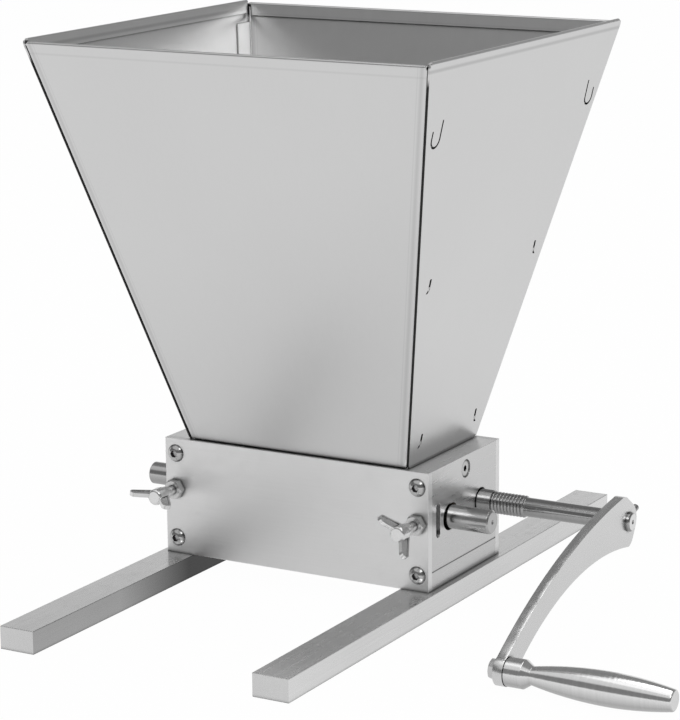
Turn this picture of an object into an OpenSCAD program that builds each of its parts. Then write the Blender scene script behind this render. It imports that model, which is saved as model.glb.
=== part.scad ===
// Hand cranked malt mill: two fluted rollers in a plate and block body on two foot bars,
// fed by a hopper of four folded sheet walls. One roller is cranked, the other one idles in
// sliding bearings that two wing bolts set.
// X runs along the rollers towards the crank, Y from front to back and Z up. The origin is on
// the standing plane, under the middle of the body.

/* [Body] */
// Width of the body over both end blocks
body_w = 158; // [150:1:170]
// Depth of the body over the front and back plates
body_d = 80; // [80:1:96]
// Height of the plates and end blocks
body_h = 63; // [61:1:70]
// Thickness of the front and back plates
plate_t = 4; // [3:0.5:4.5]
// Thickness of each end block along the rollers
block_t = 12.8; // [11:0.2:15]
// Rise of the milled line above the underside of each end block
milled_line_rise = 9.5; // [5:0.5:12]
// Width of the milled line
milled_line_w = 0.6; // [0.4:0.1:1]
// Depth of the milled line
milled_line_depth = 0.3; // [0.2:0.1:0.6]

/* [Feet] */
// Width of each foot bar
foot_w = 20; // [18:1:26]
// Height of each foot bar
foot_h = 12; // [10:1:16]
// Length of each foot bar
foot_len = 358; // [300:2:420]
// How far the middle of the foot bars lies ahead of the middle of the body
foot_ahead = 7; // [0:1:20]
// How far each foot bar stands out past the side of the body
foot_out = 3.8; // [2:0.2:6]
// Distance of each foot screw from the middle of the body
foot_screw_y = 18; // [14:1:20]

/* [Rollers] */
// Gap between the front plate and the idle roller
roller_front_gap = 4.35; // [3:0.05:6]
// Gap between the back plate and the drive roller
roller_back_gap = 1.15; // [0.8:0.05:2]
// Gap between the rollers as shown
nip_gap = 1.5; // [1.4:0.1:2]
// Depth of the roller axes below the top of the body
axis_drop = 28.5; // [26:0.5:30]
// Gap between each end of a roller and the end block
roller_end_gap = 0.5; // [0.3:0.1:1]
// Number of flutes around each roller
flute_count = 72; // [48:4:90]
// Depth of the flutes
flute_depth = 0.6; // [0.4:0.1:1]
// Diameter of the shafts in their bearings and of the stubs outside
journal_d = 12.5; // [11.5:0.1:13]
// How far the stubs stand out of the end blocks
stub_out = 24; // [18:1:30]
// How much thinner the left stubs are than the journals, on the radius
stub_step = 0.25; // [0.2:0.05:0.4]
// Chamfer of the shaft ends
shaft_chamfer = 0.8; // [0.4:0.1:1.2]
// Diameter of the centre mark in the shaft ends
centre_mark_d = 2.4; // [1.6:0.2:3]

/* [Drive shaft] */
// Distance of the thread from the end block
thread_start = 8; // [6:0.2:14]
// Length of the thread
thread_len = 19; // [12:1:22]
// Pitch of the thread
thread_pitch = 1.9; // [1.25:0.05:2]
// Outer diameter of the thread
thread_d = 11.6; // [11.2:0.1:11.6]
// Depth of the thread
thread_depth = 0.75; // [0.5:0.05:0.8]
// Diameter of the spindle that carries the crank
spindle_d = 10; // [8:0.2:10]
// How far the spindle stands out of the crank arm
spindle_proud = 2.2; // [1:0.2:4]

/* [Bearings] */
// Outer diameter of the bushes of the drive shaft
bush_d = 18; // [16:0.5:19]
// Thickness of the wall left outside the bushes and bearings
web_t = 3; // [2:0.5:4]
// Radial gap between a shaft and its hole through that wall
web_gap = 0.7; // [0.4:0.1:1]
// Depth of each sliding bearing of the idle shaft, front to back
bearing_w = 16.4; // [16:0.2:17]
// Height of each sliding bearing
bearing_h = 20; // [17:0.5:24]
// Spare length of the bearing's pocket past its travel
pocket_spare = 0.2; // [0.1:0.1:0.4]

/* [Gap adjuster] */
// Travel of the idle roller towards the drive roller
travel_in = 1.2; // [0.6:0.1:1.3]
// Travel of the idle roller away from the drive roller
travel_out = 1.2; // [0.6:0.1:1.6]
// Diameter of the wing bolts
wing_bolt_d = 5; // [4:0.5:5]
// Width of the slot that holds the captive nut
slot_w = 4.5; // [4:0.1:4.8]
// Height of the slot
slot_h = 18.2; // [16:0.2:22]
// Rise of the wing bolts and slots above the roller axes
adjuster_rise = 1.2; // [0:0.1:2]
// Wall between the slot and the bearing's pocket
slot_wall = 1.9; // [1.5:0.1:2.2]
// Height of the captive nut
captive_nut_h = 12.5; // [9:0.5:13]
// Width of the captive nut along the rollers
captive_nut_w = 8; // [7:0.2:10]
// Size of the lock nut across its flats
lock_nut_af = 9.4; // [8:0.2:10]
// Height of the lock nut
lock_nut_h = 4.5; // [3:0.5:5]
// Bare length of the wing bolt between the lock nut and its head
shank_out = 5.4; // [3:0.2:8]
// Length of the wing bolt's head along its axis
wing_hub_len = 12; // [9:0.5:14]
// Diameter of the wing bolt's head
wing_hub_d = 8.6; // [8:0.2:10]
// Span over the tips of the wings
wing_span = 25; // [20:0.2:27]
// Thickness of the wings
wing_t = 2.2; // [2:0.2:3]
// Radius of the wing tips
wing_tip_r = 2.4; // [2:0.1:3]
// Radius of the wings where they leave the head
wing_root_r = 2.9; // [2.5:0.1:4]
// How far the middle of the wing tips stands ahead of the head
wing_ahead = 3.6; // [1:0.2:5]
// Width of the raised rim around each wing
wing_rim = 0.9; // [0.6:0.1:1.2]
// Depth of the wing's face below its rim
wing_dish = 0.3; // [0.2:0.1:0.6]
// Angle of the left bolt's wings from level
wing_angle_left = 168; // [0:1:180]
// Angle of the right bolt's wings from level
wing_angle_right = 127; // [0:1:180]

/* [Crank arm] */
// Length of the crank from the drive axis to the grip's axis
crank_len = 143; // [125:1:165]
// Thickness of the crank arm
arm_t = 5; // [4.6:0.2:8]
// Distance from the end block to the outer face of the crank arm
arm_out = 84.6; // [70:0.2:100]
// Radius of the hub around the spindle
hub_r = 9.5; // [9:0.5:12]
// Radius of the hub's upper corner
hub_top_r = 8.6; // [7:0.1:9]
// Place of the upper corner along the arm
hub_top_along = 5; // [4:0.5:8]
// Height of the upper corner above the arm's centre line
hub_top_up = 7.4; // [6:0.2:9]
// Radius of the hub's lower corner
hub_toe_r = 8.4; // [7:0.1:9]
// Place of the lower corner along the arm
hub_toe_along = 3.2; // [1:0.2:4]
// Depth of the lower corner below the arm's centre line
hub_toe_down = 4.7; // [3:0.1:6]
// Height of the upper edge halfway along the arm
arm_back_up = 19.4; // [17:0.1:21]
// Height of the lower edge halfway along the arm
arm_belly_up = 4.6; // [2:0.1:6]
// Radius of the boss that carries the grip
boss_r = 7.4; // [6.5:0.1:8]
// Diameter of the set screw
set_screw_d = 3.5; // [3:0.5:4]
// How far the set screw stands out of the hub
set_screw_proud = 5; // [1:0.5:7]
// Size of the set screw's socket across its flats
set_screw_socket = 2; // [1.5:0.5:2]
// Depth of the set screw's socket
set_screw_socket_depth = 2; // [1:0.5:2.5]

/* [Grip] */
// Length of the grip from the crank arm
grip_len = 84.5; // [70:0.5:100]
// Largest diameter of the grip
grip_d = 16.6; // [14:0.2:20]
// Distance of the largest diameter from the crank arm
grip_belly_at = 51; // [44:1:56]
// Diameter of the grip's collar
collar_d = 14.2; // [13:0.2:15]
// Length of the grip's collar
collar_len = 8.6; // [7:0.2:10]
// Diameter of the grip's neck
neck_d = 9; // [8.4:0.1:10]
// Distance of the neck from the crank arm
neck_at = 12.4; // [11:0.2:14]
// Diameter of the grip's outer end
grip_end_d = 10.8; // [9:0.2:12]
// Radius of the grip's end edges
grip_edge_r = 1.1; // [0.5:0.1:1.5]
// Diameter of the spigot that turns in the crank arm
spigot_d = 7.6; // [7:0.1:8]
// End play of the grip in the crank arm
grip_play = 0.3; // [0.2:0.05:0.5]
// Diameter of the grip's bolt
grip_bolt_d = 5; // [4:0.5:5]
// Size of the bolt's head across its flats
grip_bolt_af = 9; // [8.6:0.2:11]
// Height of the bolt's head
grip_bolt_head_h = 3.8; // [3:0.1:5]
// Length of the bolt inside the grip
grip_bolt_in = 26; // [15:1:40]
// Gap between the grip and the standing plane as shown
grip_floor_gap = 0.4; // [0.2:0.1:5]

/* [Hopper] */
// How far the front wall's foot lies behind the front plate's face
hopper_front_in = 2.8; // [2:0.1:2.9]
// How far the back wall's foot lies ahead of the back plate's face
hopper_back_in = 0.8; // [0.4:0.1:2.9]
// Width of the hopper at its rim
hopper_top_w = 231.6; // [200:0.4:260]
// Depth of the hopper at its rim
hopper_top_d = 217; // [190:1:250]
// Height of the hopper
hopper_h = 216; // [180:2:260]
// How far the rims of the front and back walls lie below those of the side walls
front_rim_low = 1.3; // [0.6:0.1:2]
// Gap between the hopper's foot and the top of the body
hopper_lift = 0.8; // [0.2:0.1:1]
// Thickness of the hopper's sheet
sheet_t = 1; // [0.8:0.1:1.2]
// Outer radius of the folds between the walls
fold_r = 1.6; // [1.2:0.2:5]
// Width of the flanges folded from the front and back walls
flange_w = 14; // [13:0.5:18]
// How far below the rim the flanges begin
flange_drop = 12; // [10:1:20]
// How far the side walls' edges lie behind the face of the front and back walls
seam_set = 0.4; // [0.2:0.1:4]
// Height of the hem folded in around the rim
hem_h = 7; // [5:0.5:10]
// Gap inside the hem
hem_gap = 0.3; // [0.2:0.1:0.6]
// How far the hems of the front and back walls stop short of the corner
front_hem_short = 0.6; // [0.4:0.1:2]
// How far the hems of the side walls stop short of the walls' edges
side_hem_short = 2.4; // [2.2:0.1:4]
// Radius of the walls' upper corners
rim_corner_r = 3; // [2:0.5:4]
// Height of the feed lips above the tops of the rollers
lip_gap = 1.25; // [0.75:0.25:3]
// How far the feed lips reach in from the plates
lip_in = 8; // [5:0.5:10]
// Width of the tab that fixes each side wall
tab_w = 13; // [11:0.5:14]
// Length of the tab below the top of the body
tab_drop = 12; // [11.6:0.1:13]
// How far the side walls' skirts reach down inside the end blocks
skirt_drop = 2; // [1:0.5:3]
// Depth of the hopper's screws below the top of the body
hopper_screw_drop = 7.2; // [7:0.1:7.6]
// Height of the nuts on the fixing tabs
hopper_nut_h = 3; // [2:0.5:4]
// Size of those nuts across their flats
hopper_nut_af = 8; // [7:0.5:8]

/* [Hopper seams] */
// Distance of the seam slots from the front or back wall's face
slot_from_face = 11; // [9.5:0.1:12]
// Width of the seam slots
seam_slot_w = 1.8; // [1.4:0.1:2.4]
// Height of the seam slots
seam_slot_h = 7.5; // [6:0.1:9]
// Length of the foot of each slot's hook
seam_hook_w = 1.6; // [1:0.1:2]
// Height of the lower seam slots above the hopper's foot
seam_low_z = 9; // [7:0.5:14]
// Height of the middle seam slots above the hopper's foot
seam_mid_z = 96; // [80:1:110]
// Distance of the lanced tongues' middles from the front or back wall's face
tongue_from_face = 10; // [9:0.2:12]
// Depth of the lanced tongues' lower ends below the rim
tongue_drop = 39; // [32:1:60]
// Height of the lanced tongues
tongue_h = 14; // [11:0.5:15]
// Width of the lanced tongues
tongue_w = 9.6; // [5:0.2:10]
// Width of the cut around the tongues
lance_w = 1.2; // [0.6:0.1:1.4]
// Gap between a flange's hook and its slot
hook_gap = 0.3; // [0.2:0.05:0.4]

/* [Screws] */
// Diameter of the screws of the plates, feet and hopper
screw_d = 5; // [4:0.5:5]
// Diameter of the plate screws' heads
button_d = 9.6; // [8.5:0.1:10]
// Height of the plate screws' heads
button_h = 2.7; // [2:0.1:3]
// Size of the plate screws' sockets across their flats
button_socket = 3.6; // [3:0.1:4]
// Depth of the plate screws' sockets
button_socket_depth = 1.8; // [1:0.1:2]
// Length of the plate screws inside the end blocks
plate_screw_in = 8; // [6:0.5:9]
// Distance of the upper plate screws from the top of the body
plate_screw_top = 8.1; // [7:0.1:9]
// Distance of the lower plate screws from the underside of the body
plate_screw_low = 8.5; // [7:0.1:10]
// Diameter of the flush screws' heads
flush_head_d = 8.8; // [8:0.1:9.2]
// Size of the flush screws' sockets across their flats
flush_socket = 3; // [2.5:0.1:3.4]
// Depth of the flush screws' sockets
flush_socket_depth = 1.6; // [1:0.1:2]
// Depth of the flush screws' heads below the surface
flush_sunk = 0.5; // [0.1:0.1:0.8]
// Length of the foot screws inside the end blocks
foot_screw_in = 9; // [6:0.5:10]

/* [Fits] */
// Radial gap of a shaft that turns in its bearing
run_gap = 0.04; // [0.03:0.01:0.08]
// Gap between pieces that are fixed to each other
fit_gap = 0.02; // [0.01:0.01:0.04]
// Gap of pieces that slide in a pocket or slot
slide_gap = 0.05; // [0.04:0.01:0.1]
// Gap between a captive nut and its slot
nut_gap = 0.2; // [0.05:0.05:0.3]
// Radial gap of a screw in a clearance hole
hole_gap = 0.2; // [0.15:0.05:0.4]
// Radial gap around a flush screw's head
flush_rim_gap = 0.4; // [0.2:0.05:0.5]
// Gap between sheets that lie on each other
sheet_gap = 0.1; // [0.05:0.05:0.2]
// Gap between a wing bolt's end and the bearing that it pushes
tip_gap = 0.05; // [0.02:0.01:0.1]

/* [Hidden] */
$fn = 64;

// Places that several pieces share
cut = plate_t / 4; // overrun of every cut past the surface it starts from
body_top = foot_h + body_h;
side_x = body_w / 2;
block_x = side_x - block_t / 2;
well_x = side_x - block_t;
well_y = body_d / 2 - plate_t;
axis_z = body_top - axis_drop;
roller_d = (2 * well_y - roller_front_gap - nip_gap - roller_back_gap) / 2;
drive_y = well_y - roller_back_gap - roller_d / 2;
idle_y = roller_front_gap + roller_d / 2 - well_y;
nip_y = (drive_y + idle_y) / 2;
bearing_t = block_t - web_t;
foot_x = side_x + foot_out - foot_w / 2;
stub_end = side_x + stub_out;
roller_len = 2 * (well_x - roller_end_gap);
hopper_base = body_top + hopper_lift;
hopper_top = hopper_base + hopper_h;
hopper_base_w = 2 * (well_x - sheet_gap);
hopper_base_d = body_d - hopper_front_in - hopper_back_in;
hopper_back_by = (hopper_front_in - hopper_back_in) / 2;

// Slot and pocket of the gap adjuster, front to back
pocket_front = idle_y - bearing_w / 2 - travel_out - pocket_spare;
pocket_back = idle_y + bearing_w / 2 + travel_in + pocket_spare;
slot_y = pocket_front - slot_wall - slot_w / 2;
bolt_tip_in = body_d / 2 + idle_y - bearing_w / 2 - tip_gap;
adjuster_z = axis_z + adjuster_rise;

// The crank hangs forward with its grip just clear of the standing plane
crank_dip = asin((axis_z - grip_d / 2 - grip_floor_gap) / crank_len);
arm_x = side_x + arm_out;
grip_y = drive_y - crank_len * cos(crank_dip);
grip_z = axis_z - crank_len * sin(crank_dip);

// Start and end of a thread's crest within one pitch
crest_shares = [0.4, 0.6];
// Where the wings leave the wing bolt's head, along its length
wing_root_share = 0.55;

// Colours of the finishes
satin = [0.78, 0.78, 0.79];
sheet = [0.80, 0.80, 0.81];
polished = [0.86, 0.86, 0.87];
bronze = [0.72, 0.55, 0.33];
dull = [0.62, 0.62, 0.63];

// Round bar along X between two places
module bar_x(d, from, to) {
    translate([from, 0, 0])
        rotate([0, 90, 0])
            cylinder(d = d, h = to - from);
}

// Box between two corners
module box(low, high) {
    translate(low)
        cube(high - low);
}

// Hexagonal prism with its corners turned off at both ends
module hex_block(af, h) {
    corner_r = af / sqrt(3);
    bevel = corner_r - af / 2;
    intersection() {
        cylinder(r = corner_r, h = h, $fn = 6);
        rotate_extrude()
            polygon([
                [0, 0], [af / 2, 0], [corner_r, bevel / 2],
                [corner_r, h - bevel / 2], [af / 2, h], [0, h],
            ]);
    }
}

// Hexagonal socket that opens at the origin and goes down
module hex_socket(af, depth) {
    translate([0, 0, -depth])
        cylinder(r = af / sqrt(3), h = depth + cut, $fn = 6);
}

// Screw with a domed head above the origin and its shank below it
module button_screw(length) {
    dome_r = (pow(button_d / 2, 2) + pow(button_h, 2)) / (2 * button_h);
    steps = 8;
    half_angle = asin(button_d / 2 / dome_r);
    difference() {
        rotate_extrude()
            polygon(concat(
                [[0, -length], [screw_d / 2, -length], [screw_d / 2, 0]],
                [for (i = [0 : steps]) let (a = half_angle * (1 - i / steps))
                    [dome_r * sin(a), button_h - dome_r + dome_r * cos(a)]]
            ));
        translate([0, 0, button_h])
            hex_socket(button_socket, button_socket_depth);
    }
}

// Screw with a flat head whose top is at the origin
module flush_screw(length) {
    cone_h = (flush_head_d - screw_d) / 2;
    difference() {
        rotate_extrude()
            polygon([
                [0, -length], [screw_d / 2, -length], [screw_d / 2, -cone_h],
                [flush_head_d / 2, 0], [0, 0],
            ]);
        hex_socket(flush_socket, flush_socket_depth);
    }
}

// Hole and countersink for a flush screw whose hole opens at the origin and goes down
module flush_hole(depth) {
    cone_h = (flush_head_d - screw_d) / 2;
    rim_r = flush_head_d / 2 + flush_rim_gap;
    hole_r = screw_d / 2 + hole_gap;
    rotate_extrude()
        polygon([
            [0, -depth - cut], [hole_r, -depth - cut], [hole_r, -flush_sunk - cone_h],
            [rim_r, -flush_sunk], [rim_r, cut], [0, cut],
        ]);
}

// Places of the four screws of the front or back plate, as seen from the front
module plate_screw_places() {
    for (x = [-block_x, block_x])
        for (z = [foot_h + plate_screw_low, body_top - plate_screw_top])
            translate([x, 0, z])
                children();
}

// Turns a piece drawn upright so that it points forward, out of the front plate
module face_forward() {
    rotate([90, 0, 0])
        children();
}

// Body

module front_plate() {
    color(satin)
        difference() {
            box([-side_x, -body_d / 2, foot_h], [side_x, -well_y, body_top]);
            translate([0, -well_y + cut, 0])
                plate_screw_places()
                    face_forward()
                        cylinder(r = screw_d / 2 + hole_gap, h = plate_t + 2 * cut);
            for (x = [-block_x, block_x])
                translate([x, -well_y + cut, adjuster_z])
                    face_forward()
                        cylinder(r = wing_bolt_d / 2 + hole_gap, h = plate_t + 2 * cut);
        }
}

module back_plate() {
    color(satin)
        difference() {
            box([-side_x, well_y, foot_h], [side_x, body_d / 2, body_top]);
            translate([0, body_d / 2 + cut, 0])
                plate_screw_places()
                    face_forward()
                        cylinder(r = screw_d / 2 + hole_gap, h = plate_t + 2 * cut);
        }
}

// Holes in both edges of an end block for the plate screws
module plate_screw_holes() {
    tapped_r = screw_d / 2 + fit_gap;
    for (z = [foot_h + plate_screw_low, body_top - plate_screw_top]) {
        translate([block_x, -well_y + plate_screw_in + fit_gap, z])
            face_forward()
                cylinder(r = tapped_r, h = plate_screw_in + fit_gap + cut);
        translate([block_x, well_y + cut, z])
            face_forward()
                cylinder(r = tapped_r, h = plate_screw_in + fit_gap + cut);
    }
}

// Pocket of the idle bearing, and the long hole for the idle shaft outside it
module idle_pocket() {
    hole_r = journal_d / 2 + web_gap;
    box([well_x - cut, pocket_front, axis_z - bearing_h / 2 - slide_gap],
        [side_x - web_t, pocket_back, axis_z + bearing_h / 2 + slide_gap]);
    for (y = [idle_y - travel_out, idle_y + travel_in])
        translate([0, y, axis_z])
            bar_x(2 * hole_r, side_x - web_t - cut, side_x + cut);
    box([side_x - web_t - cut, idle_y - travel_out, axis_z - hole_r],
        [side_x + cut, idle_y + travel_in, axis_z + hole_r]);
}

// Upright slot of the captive nut, and the wing bolt's way through the block
module adjuster_slot() {
    straight = slot_h - slot_w;
    translate([0, slot_y, adjuster_z]) {
        for (z = [-straight / 2, straight / 2])
            translate([0, 0, z])
                bar_x(slot_w, well_x - cut, side_x + cut);
        box([well_x - cut, -slot_w / 2, -straight / 2],
            [side_x + cut, slot_w / 2, straight / 2]);
    }
    translate([block_x, pocket_front + cut, adjuster_z])
        face_forward()
            cylinder(r = wing_bolt_d / 2 + hole_gap, h = pocket_front + cut + well_y + cut);
}

module right_block() {
    difference() {
        box([well_x, -well_y, foot_h], [side_x, well_y, body_top]);
        plate_screw_holes();
        idle_pocket();
        adjuster_slot();
        translate([0, drive_y, axis_z]) {
            bar_x(bush_d + 2 * fit_gap, well_x - cut, side_x - web_t);
            bar_x(journal_d + 2 * web_gap, side_x - web_t - cut, side_x + cut);
        }
        for (y = [-foot_screw_y, foot_screw_y])
            translate([block_x, y, foot_h - cut])
                cylinder(r = screw_d / 2 + fit_gap, h = foot_screw_in + fit_gap + cut);
        translate([side_x, nip_y, body_top - hopper_screw_drop])
            rotate([0, 90, 0])
                flush_hole(block_t);
        box([side_x - milled_line_depth, -well_y - cut, foot_h + milled_line_rise],
            [side_x + cut, well_y + cut, foot_h + milled_line_rise + milled_line_w]);
    }
}

module end_block_right() {
    color(satin)
        right_block();
}

module end_block_left() {
    color(satin)
        mirror([1, 0, 0])
            right_block();
}

module right_foot() {
    difference() {
        box([foot_x - foot_w / 2, -foot_len / 2 - foot_ahead, 0],
            [foot_x + foot_w / 2, foot_len / 2 - foot_ahead, foot_h]);
        for (y = [-foot_screw_y, foot_screw_y])
            translate([block_x, y, 0])
                rotate([180, 0, 0])
                    flush_hole(foot_h);
    }
}

module foot_bar_right() {
    color(satin)
        right_foot();
}

module foot_bar_left() {
    color(satin)
        mirror([1, 0, 0])
            right_foot();
}

// Fasteners of the body

module front_plate_screws() {
    color(polished)
        translate([0, -body_d / 2, 0])
            plate_screw_places()
                face_forward()
                    button_screw(plate_t + plate_screw_in);
}

module back_plate_screws() {
    color(polished)
        translate([0, body_d / 2, 0])
            plate_screw_places()
                rotate([-90, 0, 0])
                    button_screw(plate_t + plate_screw_in);
}

module foot_screws() {
    color(polished)
        for (x = [-block_x, block_x])
            for (y = [-foot_screw_y, foot_screw_y])
                translate([x, y, flush_sunk])
                    rotate([180, 0, 0])
                        flush_screw(foot_h - flush_sunk + foot_screw_in);
}

// Bearings

module right_bush() {
    translate([0, drive_y, axis_z])
        difference() {
            bar_x(bush_d, well_x, side_x - web_t - fit_gap);
            bar_x(journal_d + 2 * run_gap, well_x - cut, side_x - web_t + cut);
        }
}

module drive_bush_right() {
    color(bronze)
        right_bush();
}

module drive_bush_left() {
    color(bronze)
        mirror([1, 0, 0])
            right_bush();
}

module right_bearing() {
    difference() {
        box([well_x, idle_y - bearing_w / 2, axis_z - bearing_h / 2],
            [side_x - web_t - slide_gap, idle_y + bearing_w / 2, axis_z + bearing_h / 2]);
        translate([0, idle_y, axis_z])
            bar_x(journal_d + 2 * run_gap, well_x - cut, side_x);
    }
}

module idle_bearing_right() {
    color(bronze)
        right_bearing();
}

module idle_bearing_left() {
    color(bronze)
        mirror([1, 0, 0])
            right_bearing();
}

module right_captive_nut() {
    nut_d = slot_w - 2 * nut_gap;
    difference() {
        box([block_x - captive_nut_w / 2, slot_y - nut_d / 2, adjuster_z - captive_nut_h / 2],
            [block_x + captive_nut_w / 2, slot_y + nut_d / 2, adjuster_z + captive_nut_h / 2]);
        translate([block_x, slot_y + slot_w / 2 + cut, adjuster_z])
            face_forward()
                cylinder(r = wing_bolt_d / 2 + run_gap, h = slot_w + 2 * cut);
    }
}

module captive_nut_right() {
    color(dull)
        right_captive_nut();
}

module captive_nut_left() {
    color(dull)
        mirror([1, 0, 0])
            right_captive_nut();
}

// Rollers and shafts

// Fluted barrel on the axis of one shaft
module fluted_roller() {
    crest = roller_d / 2;
    root = crest - flute_depth;
    rotate([0, 90, 0])
        translate([0, 0, -roller_len / 2])
            difference() {
                linear_extrude(roller_len)
                    polygon([for (i = [0 : 2 * flute_count - 1])
                        let (a = 180 * i / flute_count, r = i % 2 == 0 ? crest : root)
                        [r * cos(a), r * sin(a)]]);
                translate([0, 0, -cut])
                    cylinder(r = journal_d / 2 + fit_gap, h = roller_len + 2 * cut);
            }
}

// Outline, as radius and place, of a shaft end with a chamfer and a centre mark
function shaft_end(x, r, inward) = [
    [0, x + inward * centre_mark_d / 2],
    [centre_mark_d / 2, x],
    [r - shaft_chamfer, x],
    [r, x + inward * shaft_chamfer],
];

function reversed(list) = [for (i = [len(list) - 1 : -1 : 0]) list[i]];

// Outline of the thread: one ridge for each turn
function thread_outline(from, turns, pitch) = [
    for (i = [0 : turns - 1]) for (p = [
        [thread_d / 2 - thread_depth, from + i * pitch],
        [thread_d / 2, from + (i + crest_shares[0]) * pitch],
        [thread_d / 2, from + (i + crest_shares[1]) * pitch],
        [thread_d / 2 - thread_depth, from + (i + 1) * pitch],
    ]) p
];

module turned_shaft(outline) {
    rotate([0, 90, 0])
        rotate_extrude()
            polygon(outline);
}

module idle_roller() {
    color(dull)
        translate([0, idle_y, axis_z])
            fluted_roller();
}

// Outline of a left stub: its end, and the step up to the journal at the end block's face
left_stub = concat(
    shaft_end(-stub_end, journal_d / 2 - stub_step, 1),
    [[journal_d / 2 - stub_step, -side_x], [journal_d / 2, -side_x]]
);

module idle_shaft() {
    color(polished)
        translate([0, idle_y, axis_z])
            turned_shaft(concat(left_stub, reversed(shaft_end(stub_end, journal_d / 2, -1))));
}

module drive_roller() {
    color(dull)
        translate([0, drive_y, axis_z])
            fluted_roller();
}

module drive_shaft() {
    thread_from = side_x + thread_start;
    turns = floor(thread_len / thread_pitch);
    color(polished)
        translate([0, drive_y, axis_z])
            turned_shaft(concat(
                left_stub,
                [[journal_d / 2, thread_from]],
                thread_outline(thread_from, turns, thread_len / turns),
                [[spindle_d / 2, thread_from + thread_len]],
                reversed(shaft_end(arm_x + spindle_proud, spindle_d / 2, -1))
            ));
}

// Crank

// Places a piece on the crank: X along the arm from the drive axis, Y above it, and the
// outer face of the arm at Z zero, with Z going in towards the body
module on_crank() {
    translate([arm_x, drive_y, axis_z])
        rotate([90 + crank_dip, 0, 0])
            rotate([0, -90, 0])
                children();
}

// Centre of the circle through three points
function circle_centre(a, b, c) =
    let (
        d = 2 * (a.x * (b.y - c.y) + b.x * (c.y - a.y) + c.x * (a.y - b.y)),
        aa = a * a,
        bb = b * b,
        cc = c * c
    )
    [
        (aa * (b.y - c.y) + bb * (c.y - a.y) + cc * (a.y - b.y)) / d,
        (aa * (c.x - b.x) + bb * (a.x - c.x) + cc * (b.x - a.x)) / d,
    ];

// Disc whose edge passes through three points
module disc_through(a, b, c) {
    centre = circle_centre(a, b, c);
    translate(centre)
        circle(r = norm(a - centre), $fn = 180);
}

module arm_outline() {
    top_start = [hub_top_along, hub_top_up + hub_top_r];
    toe_end = [hub_toe_along, -hub_toe_down - hub_toe_r];
    difference() {
        union() {
            intersection() {
                disc_through(top_start, [crank_len / 2, arm_back_up], [crank_len, boss_r]);
                translate([hub_top_along, -crank_len])
                    square([crank_len - hub_top_along, 2 * crank_len]);
            }
            hull() {
                circle(r = hub_r, $fn = 48);
                translate([hub_top_along, hub_top_up])
                    circle(r = hub_top_r, $fn = 48);
                translate([hub_toe_along, -hub_toe_down])
                    circle(r = hub_toe_r, $fn = 48);
            }
        }
        difference() {
            disc_through(toe_end, [crank_len / 2, arm_belly_up], [crank_len, -boss_r]);
            translate([crank_len, 0])
                circle(r = boss_r);
        }
    }
    translate([crank_len, 0])
        circle(r = boss_r);
}

module crank_arm() {
    color(satin)
        on_crank()
            difference() {
                linear_extrude(arm_t)
                    arm_outline();
                translate([0, 0, -cut])
                    cylinder(r = spindle_d / 2 + fit_gap, h = arm_t + 2 * cut);
                translate([crank_len, 0, -cut])
                    cylinder(r = spigot_d / 2 + run_gap, h = arm_t + 2 * cut);
                translate([0, 0, arm_t / 2])
                    rotate([0, -90, 0])
                        cylinder(r = set_screw_d / 2 + fit_gap, h = hub_r + cut);
            }
}

module crank_set_screw() {
    length = hub_r + set_screw_proud - spindle_d / 2 - fit_gap;
    color(dull)
        on_crank()
            translate([-spindle_d / 2 - fit_gap, 0, arm_t / 2])
                rotate([0, -90, 0])
                    difference() {
                        cylinder(d = set_screw_d, h = length);
                        translate([0, 0, length])
                            hex_socket(set_screw_socket, set_screw_socket_depth);
                    }
}

// Radius of the grip at a distance from its neck or its end to its belly
function bow(reach, rise, at) =
    let (r = (pow(reach, 2) + pow(rise, 2)) / (2 * rise))
    r - sqrt(pow(r, 2) - pow(reach - at, 2));

function grip_outline() =
    let (
        steps = 14,
        belly_r = grip_d / 2,
        to_neck = grip_belly_at - neck_at,
        to_end = grip_len - grip_edge_r - grip_belly_at,
        end_r = grip_end_d / 2,
        bolt_r = grip_bolt_d / 2 + fit_gap
    )
    concat(
        [
            [bolt_r, -arm_t - grip_play],
            [spigot_d / 2, -arm_t - grip_play],
            [spigot_d / 2, 0],
            [collar_d / 2, 0],
            [collar_d / 2, collar_len],
            [neck_d / 2, neck_at],
        ],
        [for (i = [1 : steps]) let (at = to_neck * i / steps)
            [belly_r - bow(to_neck, belly_r - neck_d / 2, at), neck_at + at]],
        [for (i = [1 : steps]) let (at = to_end * i / steps)
            [belly_r - bow(to_end, belly_r - end_r, to_end - at), grip_belly_at + at]],
        [for (a = [15 : 15 : 90])
            [end_r - grip_edge_r * (1 - cos(a)), grip_len - grip_edge_r * (1 - sin(a))]],
        [
            [0, grip_len],
            [0, grip_bolt_in + bolt_r],
            [bolt_r, grip_bolt_in],
        ]
    );

module grip() {
    color(polished)
        translate([arm_x + grip_play, grip_y, grip_z])
            turned_shaft(grip_outline());
}

module grip_bolt() {
    color(dull)
        translate([arm_x - arm_t, grip_y, grip_z]) {
            bar_x(grip_bolt_d, 0, arm_t + grip_play + grip_bolt_in);
            rotate([0, -90, 0])
                hex_block(grip_bolt_af, grip_bolt_head_h);
        }
}

// Gap adjuster

// Flat wing of a wing bolt, smaller all round by inset, with Z along the bolt
module wing_blade(root_z, tip_z, inset, thick) {
    hull() {
        translate([wing_hub_d / 4, 0, root_z])
            rotate([90, 0, 0])
                cylinder(r = wing_root_r - inset, h = thick, center = true, $fn = 32);
        translate([wing_span / 2 - wing_tip_r, 0, tip_z])
            rotate([90, 0, 0])
                cylinder(r = wing_tip_r - inset, h = thick, center = true, $fn = 32);
    }
}

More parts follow.
